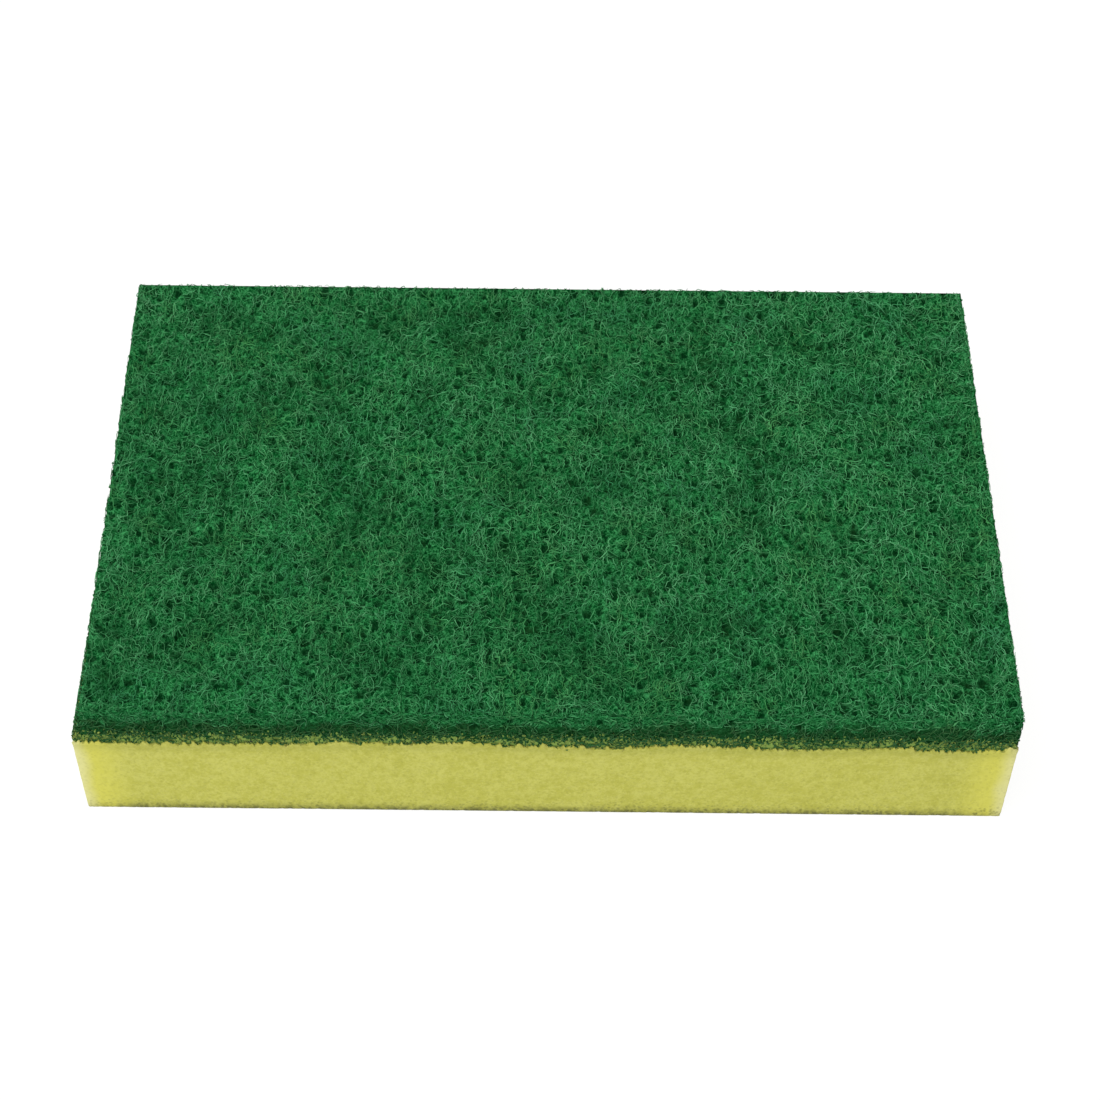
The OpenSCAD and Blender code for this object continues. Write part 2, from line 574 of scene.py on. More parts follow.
@dataclass(frozen=True)
class SawnFoam(Finish):
    """Fine open-cell foam, sawn: a mottled matte yellow with darker pores, paler upright edges that are
    painted light, and painted shade along its foot.
    """

    half_length: float
    half_width: float
    yellow: Colour = linear(202, 201, 103)
    deep_yellow: Colour = linear(187, 186, 82)
    # warm and cream: the painted light of the upright edges
    warm: Colour = linear(218, 214, 94)
    cream: Colour = linear(230, 227, 170)
    # the pores' own darker colour, also used for the painted shade along the foot
    pore_and_shade: Colour = linear(98, 100, 56)
    glue_stain: Colour = linear(112, 122, 50)
    grain_size: float = 0.5 * MM
    spot_size: float = 1.5 * MM
    cloud_size: float = 6 * MM
    cell_size: float = 0.6 * MM
    speck_patch: float = 9 * MM
    streak_size: float = 0.7 * MM
    edge_waver: float = 2 * MM
    # Bands of painted light along the upright edges, warmer and then creamier, for light through the foam.
    painted_edge_light: tuple[float, float] = (9 * MM, 2 * MM)
    painted_rim_light: tuple[float, float] = (2.6 * MM, 0.2 * MM)
    # Painted shade along the foot: pores darkened, then a streaked darker band.
    painted_foot_pore_shade: tuple[float, float] = (5 * MM, 0.3 * MM)
    painted_foot_shadow: tuple[float, float] = (3.2 * MM, 0.2 * MM)
    relief: float = 0.12 * MM
    title = "sawn_foam"

    def surface(self, tree: Tree, where: Signal) -> dict[str, object]:
        """Grain, pores and stain of the foam, with painted light along its upright edges and painted shade
        along its foot.

        Args:
            tree: the material's tree.
            where: the place on the piece.

        Returns:
            The shader's sockets.
        """
        grain = tree.noise(where, self.grain_size, 3.0, 0.75)
        spot = tree.noise(where, self.spot_size)
        cloud = tree.noise(where, self.cloud_size, 3.0)
        mottle = (grain * 0.5 + spot * 0.3 + cloud * 0.2).between(0.4, 0.6)
        body = tree.colour_mix(mottle, self.deep_yellow, self.yellow)

        x_in = self.half_length - abs(where.axis("X"))
        y_in = self.half_width - abs(where.axis("Y"))
        from_edge = x_in.high(y_in) + (cloud - 0.5) * self.edge_waver
        # Warmer, then creamier towards the upright edges: painted light.
        painted_edge_light = from_edge.between(*self.painted_edge_light)
        body = tree.colour_mix(painted_edge_light * 0.75, body, self.warm)
        body = tree.colour_mix(from_edge.between(*self.painted_rim_light) * 0.65, body, self.cream)

        z = where.axis("Z")
        cells = tree.cells(where, self.cell_size)
        some = tree.noise(where, self.speck_patch, 1.0).between(0.35, 0.65)
        # Pores painted darker towards the foot as painted shade, over their own darker colour everywhere.
        low = z.between(*self.painted_foot_pore_shade) ** 2.0 * (some * 0.35 + 0.25)
        body = tree.colour_mix(cells.between(0.55, 0.1) * (low + 0.1), body, self.pore_and_shade)
        streak = tree.noise(where * (1.0, 1.0, 0.5), self.streak_size, 2.0, 0.6)
        # A streaked darker band along the foot, weaker near the upright edges: painted shade.
        foot_shadow = z.between(*self.painted_foot_shadow) ** 2.5 * (streak.between(0.35, 0.65) * 0.5 + 0.4)
        body = tree.colour_mix(foot_shadow * (1.0 - painted_edge_light * 0.6), body, self.pore_and_shade)

        gap = tree.carried("joint_gap")
        ragged = gap + (tree.noise(where, self.cell_size, 2.0, 0.7) - 0.5) * 2.2
        # Darker towards the joint, and a ragged glue stain at it.
        darker_near_joint = gap.between(3.5, 0.2) ** 2.0 * 0.25
        body = tree.colour_mix((ragged.between(0.1, -0.35) * 0.85).high(darker_near_joint), body, self.glue_stain)

        bump = tree.bump(grain * 0.6 + cells.between(0.1, 0.5) * 0.4, 0.5, self.relief)
        return {"Base Color": body, "Roughness": 0.92, "Specular IOR Level": 0.2, "Normal": bump}


@dataclass(frozen=True)
class SetGlue(Finish):
    """Set glue with fibre ends and foam in it: olive-brown, speckled green and yellow."""

    brown: Colour = linear(84, 84, 36)
    olive: Colour = linear(118, 124, 50)
    green: Colour = linear(14, 48, 20)
    patch_size: float = 2.2 * MM
    speck_size: float = 0.5 * MM
    relief: float = 0.1 * MM
    title = "set_glue"

    def surface(self, tree: Tree, where: Signal) -> dict[str, object]:
        """Specks of the glue line.

        Args:
            tree: the material's tree.
            where: the place on the piece.

        Returns:
            The shader's sockets.
        """
        patch = tree.noise(where, self.patch_size)
        speck = tree.noise(where, self.speck_size, 2.0, 0.7)
        body = tree.colour_mix(patch.between(0.4, 0.6), self.brown, self.olive)
        body = tree.colour_mix(speck.between(0.46, 0.56), body, self.green)
        return {"Base Color": body, "Roughness": 0.6, "Normal": tree.bump(speck, 0.6, self.relief)}


@dataclass(frozen=True)
class Pores:
    """The web's open holes, wide and fine, as every layer and finish of the web reads them."""

    upright: bool
    wide_pitch: float = 2.1 * MM
    wide_radius: float = 0.7 * MM
    fine_pitch: float = 1.0 * MM
    fine_radius: float = 0.32 * MM
    waver: float = 1.3 * MM
    waver_size: float = 1.1 * MM

    def _nearest(self, tree: Tree, where: Signal, pitch: float, radius: float) -> tuple[Signal, Signal]:
        """The way to a place from the middle of its nearest hole, whose outline is uneven, and its radius.

        Args:
            tree: the tree to work in.
            where: the place.
            pitch: mean distance between holes.
            radius: mean radius of the holes.

        Returns:
            The way, as a vector, and the radius.
        """
        level = (1.0, 1.0, 0.0) if self.upright else (1.0, 1.0, 1.0)
        waver = tree.noise(where * level, self.waver_size, 1.0, output="Color") - 0.5
        uneven = where + waver * self.waver
        holes = tree.raw(
            "ShaderNodeTexVoronoi",
            {"voronoi_dimensions": "2D" if self.upright else "3D", "feature": "F1"},
            {"Vector": uneven, "Scale": 1 / pitch, "Randomness": 1.0},
        )
        way = (uneven - tree.output(holes, "Position")) * level
        return way, (tree.output(holes, "Color").axis("X") * 1.2 + 0.25) * radius

    def darkness(self, tree: Tree, where: Signal) -> Signal:
        """How dark a place is painted, as shade in the web's holes: 0 on the net round the holes, and 1 in
        the middle of a hole; the body's relief also sinks by it.

        Args:
            tree: the tree to work in.
            where: the place.

        Returns:
            The darkness.
        """
        way, radius = self._nearest(tree, where, self.wide_pitch, self.wide_radius)
        wide = way.length().between(radius, radius * 0.4)
        way, radius = self._nearest(tree, where, self.fine_pitch, self.fine_radius)
        return wide.high(way.length().between(radius, radius * 0.4) * 0.75)

    def cleared(self, tree: Tree, where: Signal) -> tuple[Signal, Signal]:
        """Places pushed out of the holes, so that fibres run round them.

        Args:
            tree: the tree to work in.
            where: the places.

        Returns:
            The places outside the holes, and how far a wide hole pushed them.
        """
        for pitch, mean in ((self.fine_pitch, self.fine_radius), (self.wide_pitch, self.wide_radius)):
            way, radius = self._nearest(tree, where, pitch, mean)
            push = (radius - way.length()).high(0.0)
            where = where + way.unit() * push
        return where, push


@dataclass(frozen=True)
class GlueReach:
    """How glue and foam show in the web above the joint: a dark zone, and under it specks of foam."""

    foot: float
    dark_from: float = 4.8 * MM
    dark_full: float = 3.2 * MM
    foam_from: float = 2.8 * MM
    foam_full: float = -0.5 * MM
    tongue_size: float = 2 * MM
    tongue_reach: float = 7 * MM
    speck_size: float = 0.4 * MM

    def dark(self, tree: Tree, where: Signal) -> Signal:
        """Share of the dark glued resin at a place."""
        ragged = (tree.noise(where, self.tongue_size, 3.0, 0.6) - 0.5) * self.tongue_reach
        return (where.axis("Z") + ragged).between(self.foot + self.dark_from, self.foot + self.dark_full)

    def foam(self, tree: Tree, where: Signal) -> Signal:
        """Share of foam at a place: none high up, specks lower, and nearly all at the joint.

        Args:
            tree: the material's tree.
            where: the place.

        Returns:
            The share.
        """
        near = where.axis("Z").between(self.foot + self.foam_from, self.foot + self.foam_full)
        speck = tree.noise(where * (1.0, 1.0, 0.6), self.speck_size, 1.0)
        return (speck + near * 0.34).between(0.68, 0.74) * near.between(0.02, 0.15)


@dataclass(frozen=True)
class DeepWeb(Finish):
    """The body of the web under its outer fibres: strands in several depths, painted darker the deeper they
    lie, and holes between them painted dark as shade.
    """

    reach: GlueReach
    level: float
    shade: Colour = linear(4, 66, 26)
    strand: Colour = linear(62, 146, 86)
    # the painted shade of the holes and of the hollows of the relief
    hole: Colour = linear(1, 36, 12)
    glued: Colour = linear(20, 56, 24)
    foam: Colour = linear(140, 168, 84)
    strand_sizes: tuple[float, ...] = (1.0 * MM, 0.8 * MM, 0.9 * MM, 0.7 * MM, 0.95 * MM)
    strand_width: float = 0.03
    hollow: tuple[float, float] = (0.1 * MM, 1.6 * MM)
    relief: float = 0.15 * MM
    title = "deep_web"

    def surface(self, tree: Tree, where: Signal) -> dict[str, object]:
        """Strands over strands, painted darker the deeper they lie, with holes and hollows painted dark as
        shade, and glue and foam.

        Args:
            tree: the material's tree.
            where: the place on the piece.

        Returns:
            The shader's sockets.
        """
        # Each deeper layer of strands gets a colour nearer the dark base: painted shade.
        body: Signal | Colour = self.shade
        for number, size in enumerate(self.strand_sizes):
            height = (number + 1) / len(self.strand_sizes)
            from_line = abs(tree.noise(where, size, 1.0, 0.45, number * 9.7 + 1) - 0.5)
            line = from_line.between(self.strand_width, self.strand_width * 0.3)
            body = tree.colour_mix(line * 0.9, body, blend(self.shade, self.strand, height))
        up = tree.carried("up")
        # Holes and hollows of the relief are mixed towards the hole colour: painted shade.
        above = Pores(True).darkness(tree, where)
        beside = Pores(False).darkness(tree, where)
        open_web = above * up + beside * (1.0 - up)
        hollow = (self.level - where.axis("Z")).between(*self.hollow) * up
        body = tree.colour_mix((open_web * 0.82).high(hollow * 0.5), body, self.hole)
        body = tree.colour_mix(self.reach.dark(tree, where) * 0.7, body, self.glued)
        body = tree.colour_mix(self.reach.foam(tree, where) * 0.9, body, self.foam)
        bump = tree.bump(line, 0.7, self.relief)
        return {"Base Color": body, "Roughness": 0.9, "Specular IOR Level": 0.0, "Normal": bump}


@dataclass(frozen=True)
class BondedFibre(Finish):
    """A coarse fibre in its green resin, lighter on top of the web and painted darker, as shade, where it
    lies deeper in it.
    """

    reach: GlueReach
    half_length: float
    light: Colour = linear(83, 175, 109)
    pale: Colour = linear(110, 187, 130)
    # the colour of the painted shade deep in the web, also of the resin patches
    sunk: Colour = linear(4, 85, 33)
    bluish: Colour = linear(34, 128, 88)
    yellowish: Colour = linear(70, 146, 62)
    glued: Colour = linear(44, 90, 42)
    patch_size: float = 9 * MM
    resin_size: float = 30 * MM
    title = "bonded_fibre"

    def surface(self, tree: Tree, where: Signal) -> dict[str, object]:
        """Tint of the single fibre, its painted shade by depth, and the patches of the resin with a painted
        falloff of the light.

        Args:
            tree: the material's tree.
            where: the place on the piece.

        Returns:
            The shader's sockets.
        """
        patch = tree.noise(where, self.patch_size)
        body = tree.colour_mix(tree.carried("tint") ** 2.0, self.light, self.pale)
        body = tree.colour_mix(patch.between(0.5, 0.72) * 0.5, body, self.bluish)
        body = tree.colour_mix(patch.between(0.5, 0.28) * 0.5, body, self.yellowish)
        # Dark patches of resin, plus painted shade that grows away from the side the light comes from.
        to_light = where.axis("X") + where.axis("Y") * 0.5
        resin_and_light_falloff = tree.noise(where, self.resin_size, 1.0) * 0.7 - to_light / self.half_length * 0.16
        body = tree.colour_mix(resin_and_light_falloff.between(0.1, 0.6) * 0.3, body, self.sunk)
        # Fibres lying deeper in the web are painted darker: painted shade.
        body = tree.colour_mix(tree.carried("depth").high(0.0).low(1.0), body, self.sunk)
        body = tree.colour_mix(self.reach.dark(tree, where) * 0.85, body, self.glued)
        return {"Base Color": body, "Roughness": 0.6, "Specular IOR Level": 0.15}


class Cover:
    """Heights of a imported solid, read from above on a grid, in metres."""

    inside = 0.35 * MM

    def __init__(self, node: bpy.types.Object, half_length: float, half_width: float, pitch: float) -> None:
        """Read the heights.

        Args:
            node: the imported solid.
            half_length: half its length.
            half_width: half its width.
            pitch: distance between the places that are read.
        """
        mesh = node.data
        solid = BVHTree.FromPolygons([v.co for v in mesh.vertices], [p.vertices for p in mesh.polygons])
        self.nx = round(2 * half_length / pitch)
        self.ny = round(2 * half_width / pitch)
        self.half = (half_length, half_width)
        self.z = np.zeros((self.nx + 1, self.ny + 1))
        down = Vector((0, 0, -1))
        far_x, far_y = half_length - self.inside, half_width - self.inside
        for i, x in enumerate(np.linspace(-half_length, half_length, self.nx + 1)):
            for j, y in enumerate(np.linspace(-half_width, half_width, self.ny + 1)):
                above = Vector((min(max(x, -far_x), far_x), min(max(y, -far_y), far_y), 1.0))
                hit = solid.ray_cast(above, down)[0]
                self.z[i, j] = hit.z if hit is not None else math.nan
        if np.isnan(self.z).any():
            self.z[np.isnan(self.z)] = np.nanmedian(self.z)

    def level_rim(self, height: float, full: float, none: float) -> None:
        """Bring the rim to one height, where the cut fibres fill the hollows.

        Args:
            height: the rim's height.
            full: distance from the outline up to which it is level.
            none: distance from the outline from which the relief is untouched.
        """
        x = np.linspace(-self.half[0], self.half[0], self.nx + 1)[:, None]
        y = np.linspace(-self.half[1], self.half[1], self.ny + 1)[None, :]
        inside = np.minimum(self.half[0] - abs(x), self.half[1] - abs(y))
        share = np.clip((none - inside) / (none - full), 0, 1)
        self.z += (height - self.z) * share * share * (3 - 2 * share)

    def at(self, x: np.ndarray, y: np.ndarray) -> np.ndarray:
        """Height at each place, blended between the places that were read.

        Args:
            x: places along the length.
            y: places along the width.

        Returns:
            The heights.
        """
        u = np.clip((x / self.half[0] + 1) / 2 * self.nx, 0, self.nx - 1e-6)
        w = np.clip((y / self.half[1] + 1) / 2 * self.ny, 0, self.ny - 1e-6)
        i, j = u.astype(int), w.astype(int)
        s, t = u - i, w - j
        near = self.z[i, j] * (1 - s) + self.z[i + 1, j] * s
        far = self.z[i, j + 1] * (1 - s) + self.z[i + 1, j + 1] * s
        return near * (1 - t) + far * t


class Part(Enum):
    """Where a face of a slab lies."""

    LOWER = 0
    UPPER = 1
    FRONT = 2
    RIGHT = 3
    BACK = 4
    LEFT = 5


@dataclass
class Slab:
    """A closed slab on a grid: a lower face, an upper face and a ring of sides, each with its own split."""

    name: str
    columns: int
    lines: int
    rows: int
    side_split: int
    lower_split: int
    upper_split: int
    place: Place

    def build(self) -> bpy.types.Object:
        """Make the slab's mesh and its object.

        Returns:
            The object, with the face attributes "up", "cut" and, for the lowest row of the cut, "seam".
        """
        spots: list[tuple[float, float, float]] = []
        faces: list[tuple[int, ...]] = []
        parts: list[int] = []
        ring = self._ring_spots()
        for row in range(self.rows + 1):
            spots += [(u, w, row / self.rows) for u, w in ring]
        self._sides(len(ring), faces, parts)
        self._face(spots, faces, parts, Part.LOWER, self.lower_split, 0)
        self._face(spots, faces, parts, Part.UPPER, self.upper_split, self.rows * len(ring))
        share = np.array(spots)
        points = self.place(share[:, 0], share[:, 1], share[:, 2])
        mesh = bpy.data.meshes.new(self.name)
        mesh.from_pydata(points.tolist(), [], faces)
        mesh.polygons.foreach_set("use_smooth", [True] * len(faces))
        part = np.array(parts)
        cut = part >= Part.FRONT.value
        store(mesh, "up", "FACE", part == Part.UPPER.value)
        store(mesh, "cut", "FACE", cut)
        store(mesh, "seam", "FACE", cut & (np.arange(len(parts)) < len(ring)))
        mesh["parts"] = parts
        return linked(self.name, mesh)

    def _ring_spots(self) -> list[tuple[float, float]]:
        """Shares of length and width round the rim, anticlockwise from the front left corner.

        Returns:
            The shares of each point.
        """
        nx, ny = self.columns * self.side_split, self.lines * self.side_split
        front = [(i / nx, 0.0) for i in range(nx)]
        right = [(1.0, j / ny) for j in range(ny)]
        back = [(1 - i / nx, 1.0) for i in range(nx)]
        left = [(0.0, 1 - j / ny) for j in range(ny)]
        return front + right + back + left

    def _sides(self, around: int, faces: list[tuple[int, ...]], parts: list[int]) -> None:
        """Add the four sides.

        Args:
            around: the number of points in one ring.
            faces: the faces, added to.
            parts: the part of each face, added to.
        """
        nx, ny = self.columns * self.side_split, self.lines * self.side_split
        ends = [nx, nx + ny, 2 * nx + ny]
        for row in range(self.rows):
            for k in range(around):
                low, high, after = row * around, (row + 1) * around, (k + 1) % around
                faces.append((low + k, low + after, high + after, high + k))
                parts.append(Part.FRONT.value + sum(k >= end for end in ends))

    def _face(
        self,
        spots: list[tuple[float, float, float]],
        faces: list[tuple[int, ...]],
        parts: list[int],
        part: Part,
        split: int,
        rim_first: int,
    ) -> None:
        """Add the lower or the upper face: a grid inside the rim, and a band that joins the two.

        Args:
            spots: the shares of all points, added to.
            faces: the faces, added to.
            parts: the part of each face, added to.
            part: which face it is.
            split: facets of this face for each cell of the slab.
            rim_first: index of the rim's first point.
        """
        nx, ny = self.columns * split, self.lines * split
        first = len(spots)
        v = 0.0 if part is Part.LOWER else 1.0
        spots += [(i / nx, j / ny, v) for j in range(1, ny) for i in range(1, nx)]

        def inner(i: int, j: int) -> int:
            """Index of a point of the grid."""
            return first + (j - 1) * (nx - 1) + i - 1

        made = [
            (inner(i, j), inner(i + 1, j), inner(i + 1, j + 1), inner(i, j + 1))
            for j in range(1, ny - 1)
            for i in range(1, nx - 1)
        ]
        right = self.columns
        back = right + self.lines
        left = back + self.columns
        whole = left + self.lines
        walk = [(inner(i, 1), i / split) for i in range(1, nx)]
        walk += [(inner(nx - 1, j), right + j / split) for j in range(2, ny)]
        walk += [(inner(i, ny - 1), back + (nx - i) / split) for i in range(nx - 2, 0, -1)]
        walk += [(inner(1, j), left + (ny - j) / split) for j in range(ny - 2, 1, -1)]
        corners = [0, nx - 2, nx + ny - 4, 2 * nx + ny - 6]
        for corner, way in zip(corners, (0, right, back, left)):
            walk[corner] = (walk[corner][0], way)
        rim = [(rim_first + k, k / self.side_split) for k in range(whole * self.side_split)]
        made += self._zip(rim, walk, whole)
        faces += made if part is Part.UPPER else [face[::-1] for face in made]
        parts += [part.value] * len(made)

    @staticmethod
    def _zip(
        outer: list[tuple[int, float]], inner: list[tuple[int, float]], whole: float
    ) -> list[tuple[int, ...]]:
        """Triangles between two rings of points, each point given as its index and its way round.

        Args:
            outer: the outer ring.
            inner: the inner ring.
            whole: the way once round.

        Returns:
            The triangles, anticlockwise seen from above.
        """
        outer = outer + [(outer[0][0], whole)]
        inner = inner + [(inner[0][0], whole)]
        a, b = 0, 0
        made: list[tuple[int, ...]] = []
        while a < len(outer) - 1 or b < len(inner) - 1:
            outer_next = outer[a + 1][1] if a < len(outer) - 1 else math.inf
            inner_next = inner[b + 1][1] if b < len(inner) - 1 else math.inf
            if outer_next <= inner_next:
                made.append((outer[a][0], outer[a + 1][0], inner[b][0]))
                a += 1
            else:
                made.append((outer[a][0], inner[b + 1][0], inner[b][0]))
                b += 1
        return made


@dataclass
class Atlas:
    """A flat map of a slab for baking: its faces and sides laid out side by side on one square."""

    length: float
    width: float
    height: float
    margin: float = 1.5 * MM

    def lay(self, piece: bpy.types.Object) -> None:
        """Give the piece the map.

        Args:
            piece: a slab, whose mesh still names the part of each face.
        """
        mesh = piece.data
        part = np.repeat(np.array(mesh["parts"]), [p.loop_total for p in mesh.polygons])
        del mesh["parts"]
        points = np.empty(len(mesh.vertices) * 3)
        mesh.vertices.foreach_get("co", points)
        corner = np.empty(len(mesh.loops), int)
        mesh.loops.foreach_get("vertex_index", corner)
        x, y, z = points.reshape(-1, 3)[corner].T
        x, y = x + self.length / 2, y + self.width / 2
        tall = self.height + self.margin
        square = self.length + 2 * tall + 3 * self.margin
        above = self.width + 2 * self.margin
        beside = self.length + 2 * self.margin
        places = {
            Part.LOWER: (x + self.margin, y + self.margin),
            Part.FRONT: (x + self.margin, z + above),
            Part.BACK: (x + self.margin, z + above + tall),
            Part.LEFT: (z + beside, y + self.margin),
            Part.RIGHT: (z + beside + tall, y + self.margin),
            Part.UPPER: (x / 3 + self.margin, y / 3 + above + 2 * tall),
        }
        flat = np.zeros((len(corner), 2), np.float32)
        for name, (across, up) in places.items():
            chosen = part == name.value
            flat[chosen, 0] = (across / square)[chosen]
            flat[chosen, 1] = (up / square)[chosen]
        layer = mesh.uv_layers.new(name=BAKE_MAP)
        layer.data.foreach_set("uv", flat.ravel())


@dataclass
class FoamBlock:
    """The sawn foam block: soft worn edges, sides and base broken by the cells of the foam."""

    length: float
    width: float
    top: Cover
    edge_round: float = 0.3 * MM
    cell: float = 0.9 * MM
    cell_depth: float = 0.16 * MM
    unevenness: float = 0.22 * MM
    teeth: float = 5.0 * MM
    wave_size: float = 14 * MM
    grain_size: float = 0.8 * MM
    edge_zone: float = 1.2 * MM
    side_zone: float = 0.1 * MM
    columns: int = 75
    lines: int = 48
    rows: int = 26
    side_split: int = 6

    def place(self, u: np.ndarray, w: np.ndarray, v: np.ndarray) -> np.ndarray:
        """Points of the block before its cells are cut.

        Args:
            u: shares of the length.
            w: shares of the width.
            v: shares of the height.

        Returns:
            The points.
        """
        x, y = (u - 0.5) * self.length, (w - 0.5) * self.width
        z = v * self.top.at(x, y)
        points = np.stack([x, y, z], 1)
        reach = np.array([self.length / 2, self.width / 2, np.inf]) - self.edge_round
        core = np.clip(points, [-reach[0], -reach[1], self.edge_round], reach)
        out = points - core
        far = np.linalg.norm(out, axis=1, keepdims=True)
        rounded = core + out / np.maximum(far, 1e-9) * self.edge_round
        return np.where((far > self.edge_round) & (v < 1)[:, None], rounded, points)

    def build(self, material: bpy.types.Material) -> bpy.types.Object:
        """Make the block.

        Args:
            material: the foam's material.

        Returns:
            The finished piece.
        """
        piece = Slab("foam", self.columns, self.lines, self.rows, self.side_split, 1, 1, self.place).build()
        Atlas(self.length, self.width, float(self.top.z.max())).lay(piece)
        self._note_joint(piece.data)
        self._cells(material).run(piece)
        return piece

    def _note_joint(self, mesh: bpy.types.Mesh) -> None:
        """Store how many millimetres each point lies below the glued face, and which points lie on a side.

        Args:
            mesh: the block's mesh.
        """
        x, y, z = np.array([v.co for v in mesh.vertices]).T
        inside = np.minimum(self.length / 2 - abs(x), self.width / 2 - abs(y))
        store(mesh, "joint_gap", "POINT", (self.top.at(x, y) - z) / MM)
        store(mesh, "rim", "POINT", inside < self.side_zone)

    def _cells(self, material: bpy.types.Material) -> Recipe:
        """The tree that cuts cells and unevenness into the sawn faces.

        Args:
            material: the foam's material.

        Returns:
            The tree.
        """
        recipe = Recipe("sawn_cells")
        cell = recipe.size("Cell size", self.cell)
        depth = recipe.size("Cell depth", self.cell_depth)
        uneven = recipe.size("Unevenness", self.unevenness)
        where = recipe.position
        pores = recipe.cells(where, cell)
        waves = recipe.noise(where, self.wave_size)
        grain = recipe.noise(where, self.grain_size, 1.0)
        gap = recipe.attribute("joint_gap")
        above_edge = where.axis("Z").between(0.0, self.edge_zone) * 0.7 + 0.3
        inwards = (pores.between(0.45, 0.1) * depth + (waves * 0.6 + grain * 0.4 - 0.5) * uneven) * above_edge
        teeth = recipe.size("Teeth at the joint", self.teeth)
        ragged = (recipe.noise(where, self.grain_size, 2.0, 0.8) - 0.48).high(-0.06)
        lift = gap.between(1.3, 0.0) * recipe.attribute("rim") * ragged * teeth
        moved = recipe.normal * (inwards * gap.between(0.0, 0.6) * -1.0) + recipe.vector(0.0, 0.0, lift)
        recipe.finish(recipe.shifted(recipe.mesh, moved), material)
        return recipe


@dataclass
class GlueFilm:
    """The set glue between foam and web, with a ragged rim."""

    length: float
    width: float
    lower: Cover
    upper: Cover
    ragged: float = 0.4 * MM
    wobble_size: float = 0.9 * MM
    inset: float = 0.35 * MM
    columns: int = 35
    lines: int = 23
    rows: int = 2
    side_split: int = 8

    def place(self, u: np.ndarray, w: np.ndarray, v: np.ndarray) -> np.ndarray:
        """Points of the film before its rim is roughened.

        Args:
            u: shares of the length.
            w: shares of the width.
            v: shares of the height.

        Returns:
            The points.
        """
        x, y = (u - 0.5) * (self.length - 2 * self.inset), (w - 0.5) * (self.width - 2 * self.inset)
        low, high = self.lower.at(x, y), self.upper.at(x, y)
        return np.stack([x, y, low + v * (high - low)], 1)

    def build(self, material: bpy.types.Material) -> bpy.types.Object:
        """Make the film.

        Args:
            material: the glue's material.

        Returns:
            The finished piece.
        """
        grid = (self.columns, self.lines, self.rows, self.side_split, 1, 1)
        piece = Slab("glue_film_dressed", *grid, self.place).build()
        del piece.data["parts"]
        recipe = Recipe("ragged_film")
        ragged = recipe.size("Ragged rim", self.ragged)
        where = recipe.position
        wobble = recipe.noise(where, self.wobble_size, output="Color")
        rim = recipe.attribute("cut").between(0.0, 0.5)
        moved = (wobble - 0.5) * recipe.vector(ragged, ragged, ragged * 1.6) * rim
        recipe.finish(recipe.shifted(recipe.mesh, moved), material)
        recipe.run(piece)
        return piece


@dataclass
class WebOutline:
    """The outline of the scouring pad: a rectangle whose left side leans in towards the front corner."""

    half_length: float
    half_width: float
    foot: float
    head: float
    corner_trim: float = 1.6 * MM
    outer: float = 0.95 * MM

    def left_share(self, w: np.ndarray, v: np.ndarray) -> np.ndarray:
        """How far the left side lies in, at shares of width and height."""
        return self.corner_trim * v * (1 - w)

    def folded(
        self, recipe: Recipe, where: Signal, margin: Operand, room: Operand | None = None
    ) -> tuple[Signal, Signal]:
        """Places folded back inside the outline, as a fibre that turns back at the cut.

        Args:
            recipe: the tree to work in.
            where: the places.
            margin: distance kept from the outline.
            room: depth of the layer that they stay in along their nearest side, or None for no layer.

        Returns:
            The places inside, and their distance from the nearest side.
        """
        x, y, z = (where.axis(name) for name in "XYZ")
        back = (y / (2 * self.half_width) + 0.5).high(0.0).low(1.0)
        up = ((z - self.foot) / (self.head - self.foot)).high(0.0).low(1.0)
        middle = up * (1.0 - back) * (self.corner_trim / 2)
        across = x - middle
        half = self.half_length - middle
        in_x = abs(half - abs(across) - margin) + margin
        in_y = abs(self.half_width - abs(y) - margin) + margin
        if room is not None:
            near_x = in_x.below(in_y)
            layer_x, layer_y = (abs(room - abs(room - far) - margin) + margin for far in (in_x, in_y))
            in_x, in_y = in_x + (layer_x - in_x) * near_x, in_y + (layer_y - in_y) * (1.0 - near_x)
        inside = recipe.vector(across.sign() * (half - in_x) + middle, y.sign() * (self.half_width - in_y), z)
        return inside, in_x.low(in_y)


